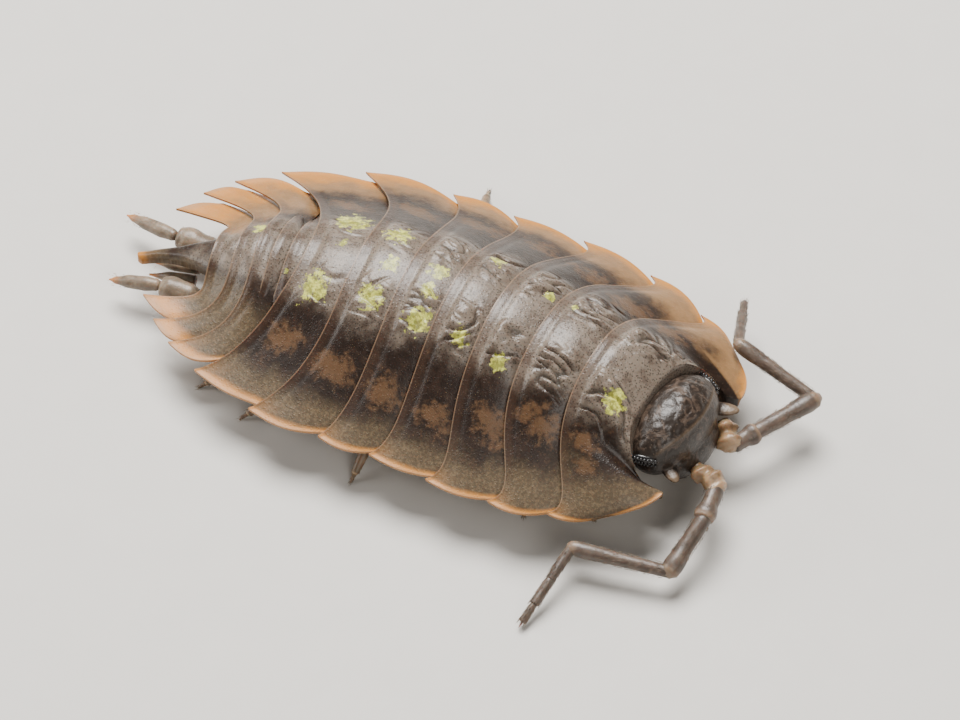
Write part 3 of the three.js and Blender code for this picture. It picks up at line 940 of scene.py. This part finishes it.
class WOODLOUSE_OT_head(Operator):
    """Head capsule with marbled bosses, side lobes, frontal line and mouthparts"""

    bl_idname = "woodlouse.head"
    bl_label = "Head"

    def execute(self, context):
        finish = head_finish(context.scene.woodlouse_body)
        x, z = HEAD["x"], HEAD["z"]
        parts = [
            egg((HEAD["length"], HEAD["half"], HEAD["height"]), (x, 0, z), rings=32),
            egg((0.5, 1.0, 0.62), (x + 0.5, 0, z - 0.5)),
            egg((0.62, 0.72, 0.42), (x + 0.2, 0, z - 0.92)),
        ]
        for name, side in SIDES.items():
            lobe = (x + 0.56, side * HEAD["lobe_" + name], z - 0.22)
            parts.append(egg((0.46, 0.2, 0.09), lobe, side * 0.5))
            parts.append(egg((0.3, 0.22, 0.2), (x + 0.42, side * 0.3, z - 1.0)))
        points, faces, normals = fused("head_form", parts, HEAD["voxel"])
        shaped, places, pale = [], [], []
        for point, normal in zip(points, normals):
            front = point.x - frontal_line(point.y)
            bosses = 3 * abs(noise.noise(point * 3.4)) * smooth(normal.z, 0.1, 0.7)
            bosses *= (1 - smooth(front, -0.15, 0.0)) * smooth(point.x, 5.7, 6.0)
            line = bell(front, 0.03) * smooth(normal.z, -0.1, 0.2)
            line *= 1 - smooth(abs(point.y), 1.1, 1.4)
            moved = point + normal * (HEAD["bosses"] * bosses + HEAD["line"] * line)
            shaped.append(bent(*moved))
            places.append(tuple(moved))
            lobe = smooth(point.x, 6.86, 7.12) * smooth(abs(point.y), 0.98, 1.2)
            pale.append(min(1.0, 0.28 * line + 0.6 * lobe))
        marks = {"place": places, "rim": pale}
        add_piece("head_capsule", shaped, faces, finish, ["head"], marks)
        return {"FINISHED"}


class WOODLOUSE_OT_eyes(Operator):
    """Compound eyes: rows of black lenses on a dark oval base"""

    bl_idname = "woodlouse.eyes"
    bl_label = "Eyes"

    def execute(self, context):
        finish = lens_finish()
        x, y, z, radius = EYE["x"], EYE["y"], EYE["z"], EYE["lens"]
        for name, side in SIDES.items():
            parts = [egg((0.33, 0.11, 0.15), (x, side * y, z), side * -0.35)]
            for row in range(3):
                last = 7 - row % 2
                for k in range(last + 1):
                    along = (k - last / 2) * EYE["step"]
                    up = (row - 1) * EYE["row_step"]
                    out = y + 0.1 - along**2 * 0.5 - up**2 * 2.0 - along * 0.32
                    centre = (x + along, side * out, z + up)
                    parts.append(egg((radius, radius + 0.008, radius), centre, rings=9))
            points, faces = gathered(parts)
            marks = {"place": [tuple(p) for p in points]}
            points = [bent(*p) for p in points]
            add_piece("eye_lenses_" + name, points, faces, finish, ["eye_" + name], marks)
        return {"FINISHED"}


def turned_form(start, end, stations, lumps, seed, ring):
    """A limb article along the line between two points, through (share, radius) stations."""
    around, steps = 22, 30
    axis = end - start
    toward = axis.normalized()
    side = toward.cross(Vector((0, 0, 1)))
    side = side.normalized() if side.length > 0.05 else Vector((0, 1, 0))
    up = side.cross(toward)
    first, last = stations[0][0], stations[-1][0]
    points, joint = [], []
    for step in range(steps + 1):
        share = first + (last - first) * step / steps
        radius = stations[-1][1]
        for (s0, r0), (s1, r1) in zip(stations, stations[1:]):
            if s0 <= share <= s1:
                radius = r0 + (r1 - r0) * smooth(share, s0, s1) if s1 > s0 else r1
                break
        centre = start + axis * share
        for k in range(around):
            angle = 2 * math.pi * k / around
            out = side * math.cos(angle) + up * math.sin(angle)
            here = (centre + out * radius) * 3.2 + Vector((seed, 0, 0))
            size = radius * (1 + lumps * noise.noise(here))
            points.append(centre + out * size)
            joint.append(smooth(share, *ring))
    faces = []
    for step in range(steps):
        for k in range(around):
            a, b = step * around + k, step * around + (k + 1) % around
            faces.append((a, a + around, b + around, b))
    points.append(start + axis * first)
    points.append(start + axis * last)
    joint.extend([0.0, 0.0])
    for k in range(around):
        after = (k + 1) % around
        faces.append((len(points) - 2, k, after))
        faces.append((len(points) - 1, steps * around + after, steps * around + k))
    return points, faces, joint


HAIR = {"lean": 0.82, "thin": 0.006, "shortest": 0.6, "longest": 1.2}


def hairs_on(start, end, radius, count, length, seed):
    """Fine stiff hairs that stand on a limb article and lean towards its tip."""
    dice = random.Random(seed)
    axis = (end - start).normalized()
    side = axis.orthogonal().normalized()
    parts = []
    for _ in range(count):
        share = dice.uniform(0.04, 0.98)
        angle = dice.uniform(0, 2 * math.pi)
        out = Quaternion(axis, angle) @ side
        root = start.lerp(end, share) + out * radius * 0.93
        way = (out * (1 - HAIR["lean"]) + axis * HAIR["lean"]).normalized()
        tall = length * dice.uniform(HAIR["shortest"], HAIR["longest"])
        across = way.cross(out).normalized() * HAIR["thin"]
        deep = way.cross(across).normalized() * HAIR["thin"]
        tip = root + way * tall
        points = [root + across, root - across * 0.5 + deep, root - across * 0.5 - deep, tip]
        parts.append((points, [(0, 1, 3), (1, 2, 3), (2, 0, 3)]))
    return parts


def add_limb(name, articles, finish, nodes, hair, seed, hairs, ring):
    """One limb piece from its articles, each (start, end, stations, lumps)."""
    parts, joint = [], []
    for number, (start, end, stations, lumps) in enumerate(articles):
        points, faces, marks = turned_form(start, end, stations, lumps, seed + number, ring)
        parts.append((points, faces))
        joint.extend(marks)
        middle = stations[len(stations) // 2][1]
        if hair > 0 and middle > 0.03:
            grown = hairs_on(start, end, middle, hairs, hair, int(seed * 10) + number)
            parts.extend(grown)
            joint.extend([0.3] * (4 * len(grown)))
    points, faces = gathered(parts)
    marks = {"place": [tuple(p) for p in points], "joint": joint}
    add_piece(name, points, faces, finish, nodes, marks)


FEELERS = {
    "left": {
        "base": [(7.3, 0.38, 1.3), (7.62, 0.0, 1.16), (8.0, 0.62, 1.2)],
        "elbow": (8.88, 2.14, 1.2),
        "wrist": (6.7, 2.46, 1.8),
        "tip": (6.06, 4.38, 1.0),
    },
    "right": {
        "base": [(7.32, -1.12, 1.3), (7.85, -1.36, 1.32), (7.92, -2.28, 1.2)],
        "elbow": (7.67, -3.69, 0.66),
        "wrist": (5.34, -4.17, 0.86),
        "tip": (4.98, -6.36, 0.14),
    },
}


# Share of the way along an article, and radius there.
FEELER_FORMS = {
    "base": [(-0.3, 0.18), (0.1, 0.3), (0.4, 0.23), (0.8, 0.32), (1.12, 0.25), (1.3, 0.1)],
    "stalk": [(0.0, 0.12), (0.12, 0.22), (0.5, 0.21), (0.85, 0.265), (1.0, 0.24), (1.04, 0.1)],
    "mid": [(-0.1, 0.15), (0.04, 0.2), (0.5, 0.205), (0.88, 0.245), (1.0, 0.22), (1.09, 0.1)],
    "long": [(-0.06, 0.1), (0.02, 0.155), (0.5, 0.165), (0.9, 0.195), (1.0, 0.17), (1.05, 0.08)],
    "bristle": [(0, 0.028), (0.5, 0.018), (1, 0.004)],
}
WHIP_JOINTS = (0, 0.4, 0.7, 0.93)
WHIP_RADII = (0.125, 0.12, 0.085)
# Shares of an article where its pale ring begins and is full; past the end it has none.
RING = (0.93, 0.97)
NO_RING = (1.2, 1.4)


class WOODLOUSE_OT_feelers(Operator):
    """Elbowed feelers: lumpy amber base, two long articles and a bristly three-part whip"""

    bl_idname = "woodlouse.feelers"
    bl_label = "Feelers"

    def execute(self, context):
        body = context.scene.woodlouse_body
        grey = limb_finish("feeler_shell", body.feeler, TONES["feeler_joint"])
        honey = limb_finish(
            "feeler_base_shell", TONES["feeler_base"], TONES["feeler_base_joint"], 0.9, 0.38, 0.3
        )
        for name, pose in FEELERS.items():
            root, bulb, knee = (Vector(p) for p in pose["base"])
            elbow, wrist, tip = (Vector(pose[k]) for k in ("elbow", "wrist", "tip"))
            stem = "antenna_" + name
            seed = 3.0 if name == "left" else 7.0

            def add(part, start, end, finish, lumps, hair, step, hairs=0, ring=RING):
                nodes = [] if part == "stalk" else [stem + "_" + part]
                articles = [(start, end, FEELER_FORMS[part], lumps)]
                add_limb(
                    stem + "_" + part + "_shell", articles, finish, nodes,
                    body.hair * hair, seed + step, hairs, ring,
                )

            add("base", root, bulb, honey, 0.6, 0, 0)
            add("stalk", bulb, knee, grey, 0.12, 0.5, 5, 60, (0.84, 0.95))
            add("mid", knee, elbow, grey, 0.06, 0.6, 1, 260)
            add("long", elbow, wrist, grey, 0.06, 0.7, 2, 340)
            whip = [wrist.lerp(tip, share) for share in WHIP_JOINTS]
            articles = []
            for k, r in enumerate(WHIP_RADII):
                end = 0.03 if k == 2 else r * 0.9
                form = [(-0.02, r * 0.9), (0.08, r), (0.6, r * 1.04), (0.97, r * 0.95), (1.01, end)]
                articles.append((whip[k], whip[k + 1], form, 0.1))
            articles.append((whip[3], tip, FEELER_FORMS["bristle"], 0.0))
            add_limb(
                stem + "_whip_shell", articles, grey,
                [stem + "_whip"], body.hair * 1.4, seed + 3, 130, NO_RING,
            )
        return {"FINISHED"}


LEG_ROOT_Y = 1.42
# Share of the way from the root of a leg to its foot, height and radius at each joint.
LEG_JOINTS = [
    (0.0, 0.75, 0.24),
    (0.14, 0.55, 0.2),
    (0.42, 0.88, 0.19),
    (0.72, 0.5, 0.15),
    (0.93, 0.14, 0.09),
    (1.0, 0.0, 0.025),
]
# Where each foot stands, x and distance from the midline, from the first leg to the last.
FEET = {
    "left": [
        (5.8, 2.5), (4.4, 3.5), (2.6, 4.0), (0.5, 4.6), (-1.28, 5.6), (-3.8, 3.9), (-5.6, 2.8),
    ],
    "right": [
        (5.6, 2.3), (4.0, 3.1), (2.2, 3.1), (0.8, 3.2), (-0.6, 4.15), (-4.2, 3.4), (-5.6, 2.8),
    ],
}


def leg_article(r0, r1, is_claw):
    """Radii along one article of a leg, from the radii at its two joints."""
    if is_claw:
        return [(0, r0 * 0.7), (0.5, r1 * 1.6), (1.0, r1 * 0.6)]
    return [
        (-0.08, r0 * 0.6), (0.08, r0 * 0.86), (0.55, (r0 + r1) * 0.5),
        (0.9, r1 * 1.15), (1.0, r1 * 0.8), (1.04, r1 * 0.3),
    ]


class WOODLOUSE_OT_legs(Operator):
    """Fourteen slender legs with bristles and a small claw"""

    bl_idname = "woodlouse.legs"
    bl_label = "Legs"

    def execute(self, context):
        body = context.scene.woodlouse_body
        finish = limb_finish("leg_shell", body.leg, TONES["leg_joint"])
        for name, side in SIDES.items():
            for i, (foot_x, foot_y) in enumerate(FEET[name]):
                front = PEREONITES[i - 1]["mid"] if i else COLLAR[0][0]
                station = (PEREONITES[i]["mid"] + front) / 2
                joints = []
                for share, z, radius in LEG_JOINTS:
                    x = station + (foot_x - station) * share
                    y = side * (LEG_ROOT_Y + (foot_y - LEG_ROOT_Y) * share)
                    joints.append((bent(x, y, z), radius))
                articles = []
                for (start, r0), (end, r1) in zip(joints, joints[1:]):
                    form = leg_article(r0, r1, r1 == LEG_JOINTS[-1][2])
                    articles.append((start, end, form, 0.08))
                node = "leg_%s_%d" % (name, i + 1)
                seed = 20.0 + i + side
                add_limb(
                    node + "_shell", articles, finish, [node], body.hair, seed, 26, RING
                )
        return {"FINISHED"}


# The bent tail branches: x and y of their joints on the straight body.
UROPODS = {
    "left": {"root": (-6.28, 0.8), "joint": (-7.36, 0.88), "tip": (-8.78, 1.46)},
    "right": {"root": (-6.28, -0.76), "joint": (-7.3, -0.7), "tip": (-8.67, -0.62)},
}
UROPOD_FORMS = {
    "base": [(0, 0.22), (0.25, 0.3), (0.75, 0.32), (0.95, 0.26), (1.0, 0.12)],
    "outer": [(0.0, 0.1), (0.06, 0.15), (0.3, 0.185), (0.6, 0.165), (0.85, 0.1), (1.0, 0.02)],
    "inner": [(0, 0.14), (0.5, 0.15), (1.0, 0.03)],
}


class WOODLOUSE_OT_tail_branches(Operator):
    """Forked tail: stout bases, spear-shaped outer branches and short inner branches"""

    bl_idname = "woodlouse.tail_branches"
    bl_label = "Tail Branches"

    def execute(self, context):
        body = context.scene.woodlouse_body
        finish = limb_finish("tail_branch_shell", body.tail, TONES["branch_tip"])
        for name, pose in UROPODS.items():
            side = SIDES[name]
            start = bent(*pose["root"], 0.82)
            middle = bent(*pose["joint"], 0.94)
            end = bent(*pose["tip"], 0.66)
            inner_start, inner_end = bent(-6.55, side * 0.2, 0.74), bent(-7.75, side * 0.2, 0.62)
            parts = [
                ("base", start, middle, 0.12, 0.4, 50.0, 40, NO_RING),
                ("outer", middle, end, 0.06, 0.6, 54.0, 70, (0.7, 1.0)),
                ("inner", inner_start, inner_end, 0.06, 0.6, 58.0, 30, (0.7, 1.0)),
            ]
            for part, here, there, lumps, hair, seed, hairs, ring in parts:
                node = "uropod_%s_%s" % (name, part)
                articles = [(here, there, UROPOD_FORMS[part], lumps)]
                add_limb(
                    node + "_shell", articles, finish, [node],
                    body.hair * hair, seed + side, hairs, ring,
                )
        return {"FINISHED"}


BELLY = {"end": 5.75, "half": 2.35, "low": 0.86, "rise": 0.42, "taper": 0.7, "thick": 0.12}
INNER_SKIN = {"front": 5.3, "length": 11.3, "half": 2.7, "depth": 0.36, "thick": 0.1}
GILL = {"first": -3.62, "step": 0.5, "half": 0.78, "low": 0.62, "thick": 0.1}


class WOODLOUSE_OT_underside(Operator):
    """Belly skin with a fold at each segment, and the pale gill plates under the tail"""

    bl_idname = "woodlouse.underside"
    bl_label = "Underside"

    def execute(self, context):
        finish = skin_finish(context.scene.woodlouse_body)
        self.add_belly(finish)
        self.add_inner_skin(shell_finish(context.scene.woodlouse_shell))
        for name in SIDES:
            for index in range(5):
                self.add_gill_plate(name, index, finish)
        return {"FINISHED"}

    def add_belly(self, finish):
        """A trough of skin from the head to the tail, closed against the plates above."""
        across, along = 64, 150
        folds = [form["mid"] + 0.6 for form in PEREONITES]

        def sample(share, j):
            x = BELLY["end"] * (1 - 2 * j / along)
            narrow = 1 - 0.62 * smooth(-x, 1.5, BELLY["end"]) - 0.3 * smooth(x, 4.4, BELLY["end"])
            half = BELLY["half"] * narrow
            y = half * math.sin(0.5 * math.pi * share)
            roof = back_height(x, half) - 0.38
            low = BELLY["low"] + (1 - narrow) * BELLY["taper"] + BELLY["rise"] * share**2
            rise = abs(share) ** 5
            fold = sum(bell(x - middle, 0.09) for middle in folds)
            z = low + (roof - low) * rise + 0.05 * fold * (1 - rise)
            return (x, y * 0.93, z + BELLY["thick"]), (x, y, z), {"place": (x, y, z)}

        add_slab("belly_skin", across, along, sample, finish)

    def add_inner_skin(self, finish):
        """Skin close under the plates, which closes the narrow slits between them, painted dark as
        the shade inside them.
        """
        across, along = 60, 120
        marks = dict.fromkeys(("along", "tan", "lemon", "boss"), 0.0)
        # share 0.6 gives the skin the chocolate of the plate sides: painted shade inside the slits.
        marks.update(dict.fromkeys(("edge", "border", "rear"), 3.0), share=0.6)

        def sample(share, j):
            x = INNER_SKIN["front"] - INNER_SKIN["length"] * j / along
            y = share * (INNER_SKIN["half"] - 1.5 * smooth(-x, 3.0, 6.0))
            z = back_height(x, y) - INNER_SKIN["depth"]
            return (x, y, z), (x, y, z - INNER_SKIN["thick"]), {"place": (x, y, z), **marks}

        add_slab("inner_skin", across, along, sample, finish)

    def add_gill_plate(self, name, index, finish):
        """One thin breathing plate, rounded at its rear edge."""
        side, rows = SIDES[name], 18

        def sample(share, j):
            v = j / rows
            out = (share + 1) / 2
            wide = GILL["half"] * (1 - index * 0.1) * math.sqrt(max(0.02, 1 - (v * 0.98) ** 3))
            x = GILL["first"] - (index + v) * GILL["step"]
            y = side * (0.05 + wide * out)
            z = GILL["low"] + index * 0.05 + 0.09 * v + 0.1 * out**2 + 0.03 * math.sin(3.1 * out)
            return (x, y, z), (x, y, z - GILL["thick"] * (1 - v / 2)), {"place": (x, y, z)}

        node = "pleopod_%s_%d" % (name, index + 1)
        add_slab(node + "_skin", 18, rows, sample, finish, [node], side < 0)


# Each panel: where it stands from the animal, its width in metres, its power and its colour.
PANELS = {
    "sky_panel": ((-0.045, 0.07, 0.175), 0.13, 1.12, (1.0, 0.98, 0.95)),
    "front_panel": ((0.14, -0.12, 0.14), 0.11, 0.17, (1.0, 0.96, 0.9)),
    "side_panel": ((-0.17, -0.05, 0.08), 0.1, 0.16, (1.0, 0.98, 0.95)),
}
WORLD = {"colour": (1.0, 0.97, 0.93, 1.0), "strength": 0.085}
FLOOR_HALF = 1.5


class WOODLOUSE_OT_stage(Operator):
    """Pale floor, soft studio light and the camera at the photograph's angle"""

    bl_idname = "woodlouse.stage"
    bl_label = "Stage"

    def execute(self, context):
        stage = context.scene.woodlouse_stage
        self.add_floor(stage)
        self.add_world()
        for name, values in PANELS.items():
            self.add_light(name, *values)
        self.add_camera(context, stage)
        return {"FINISHED"}

    def add_floor(self, stage):
        look = Finish("pale_floor")
        place = look.node("ShaderNodeTexCoord").outputs["Object"]
        grain = look.noise(place, 900.0, 4.0)
        tone = look.mix(grain, tinted(stage.floor, 0.97), tinted(stage.floor, 1.03))
        look.surface(tone, 0.7, look.bump(grain, 0.01, 0.2), Specular_IOR_Level=0.2)
        mesh = bpy.data.meshes.new("floor")
        half = FLOOR_HALF
        corners = [(-half, -half, 0), (half, -half, 0), (half, half, 0), (-half, half, 0)]
        mesh.from_pydata(corners, [], [(0, 1, 2, 3)])
        mesh.materials.append(look.material)
        floor = bpy.data.objects.new("floor", mesh)
        bpy.context.scene.collection.objects.link(floor)

    def add_world(self):
        world = bpy.data.worlds.new("studio")
        world.use_nodes = True
        back = world.node_tree.nodes["Background"]
        back.inputs["Color"].default_value = WORLD["colour"]
        back.inputs["Strength"].default_value = WORLD["strength"]
        bpy.context.scene.world = world

    def add_light(self, name, away, size, power, colour):
        centre = (SHIFT + Vector((-0.4, 0, 1.5))) * MM
        lamp = bpy.data.lights.new(name, "AREA")
        lamp.shape = "DISK"
        lamp.size = size
        lamp.energy = power
        lamp.color = colour
        panel = bpy.data.objects.new(name, lamp)
        panel.location = centre + Vector(away)
        panel.rotation_euler = Vector(away).to_track_quat("Z", "Y").to_euler()
        bpy.context.scene.collection.objects.link(panel)

    def add_camera(self, context, stage):
        a, e = stage.azimuth, stage.elevation
        back = Vector((math.sin(a) * math.cos(e), -math.cos(a) * math.cos(e), math.sin(e)))
        right = Vector((math.cos(a), math.sin(a), 0))
        up = back.cross(right)
        aim = SHIFT + Vector((0, 0, 1.5)) + right * 0.854 - up * 0.73
        lens = bpy.data.cameras.new("camera")
        lens.lens = stage.lens
        lens.sensor_width = 36
        lens.clip_start = 0.005
        lens.clip_end = 10
        camera = bpy.data.objects.new("camera", lens)
        camera.location = aim * MM + back * stage.distance
        camera.rotation_euler = Matrix((right, up, back)).transposed().to_euler()
        bpy.context.scene.collection.objects.link(camera)
        context.scene.camera = camera


STEPS = [
    WOODLOUSE_OT_back_plates,
    WOODLOUSE_OT_tail_plates,
    WOODLOUSE_OT_head,
    WOODLOUSE_OT_eyes,
    WOODLOUSE_OT_feelers,
    WOODLOUSE_OT_legs,
    WOODLOUSE_OT_tail_branches,
    WOODLOUSE_OT_underside,
    WOODLOUSE_OT_stage,
]


class WOODLOUSE_PT_steps(Panel):
    """Lists the settings and the steps that build the woodlouse"""

    bl_idname = "WOODLOUSE_PT_steps"
    bl_label = "Woodlouse"
    bl_space_type = "VIEW_3D"
    bl_region_type = "UI"
    bl_category = "Woodlouse"

    def draw(self, context):
        scene = context.scene
        for settings in (scene.woodlouse_shell, scene.woodlouse_body, scene.woodlouse_stage):
            box = self.layout.box()
            for name in settings.__annotations__:
                box.prop(settings, name)
        for step in STEPS:
            self.layout.operator(step.bl_idname)


CLASSES = [ShellSettings, BodySettings, StageSettings, *STEPS, WOODLOUSE_PT_steps]


def register():
    for cls in CLASSES:
        bpy.utils.register_class(cls)
    bpy.types.Scene.woodlouse_shell = PointerProperty(type=ShellSettings)
    bpy.types.Scene.woodlouse_body = PointerProperty(type=BodySettings)
    bpy.types.Scene.woodlouse_stage = PointerProperty(type=StageSettings)


def unregister():
    del bpy.types.Scene.woodlouse_stage
    del bpy.types.Scene.woodlouse_body
    del bpy.types.Scene.woodlouse_shell
    for cls in reversed(CLASSES):
        bpy.utils.unregister_class(cls)


def main():
    register()
    bpy.ops.woodlouse.back_plates()
    bpy.ops.woodlouse.tail_plates()
    bpy.ops.woodlouse.head()
    bpy.ops.woodlouse.eyes()
    bpy.ops.woodlouse.feelers()
    bpy.ops.woodlouse.legs()
    bpy.ops.woodlouse.tail_branches()
    bpy.ops.woodlouse.underside()
    bpy.ops.woodlouse.stage()


if __name__ == "__main__":
    main()
